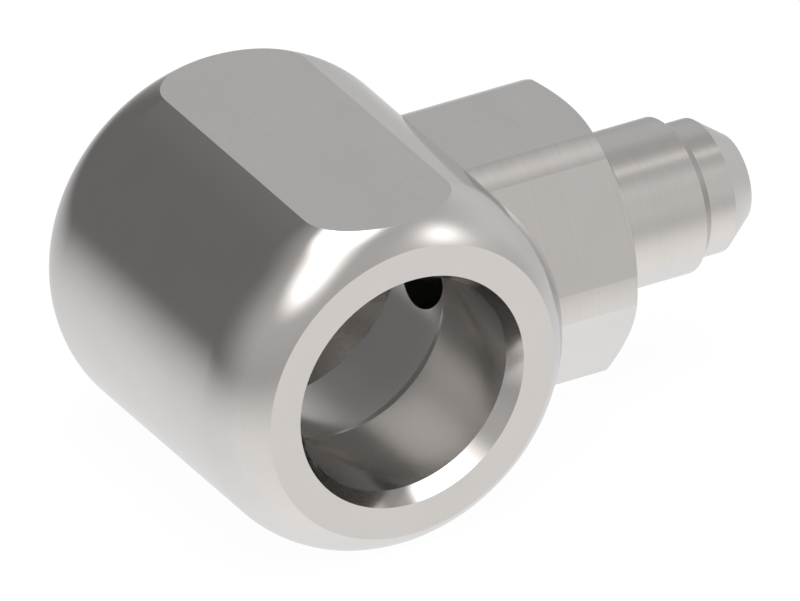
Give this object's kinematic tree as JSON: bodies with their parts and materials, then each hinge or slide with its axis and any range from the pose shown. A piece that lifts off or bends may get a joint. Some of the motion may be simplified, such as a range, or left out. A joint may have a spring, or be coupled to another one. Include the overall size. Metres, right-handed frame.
{
  "type": "swivel fitting",
  "caption": "Eye type swivel fitting body: barrel head with a grooved through bore, hexagon, and a stem ending in a 37 degree sealing cone.",
  "frame": {"origin": "where the axis of the eye's bore crosses the axis of the stem, in the middle of the bore", "axes": "+X along the eye's bore, +Y along the stem towards the sealing cone, +Z out of the upper wrench flat"},
  "size_m": [0.037, 0.0599, 0.032],
  "materials": {
    "steel": "smooth turned steel with a bright satin sheen"
  },
  "bodies": {
    "root": {"fitting_body": "steel"}
  },
  "joints": []
}
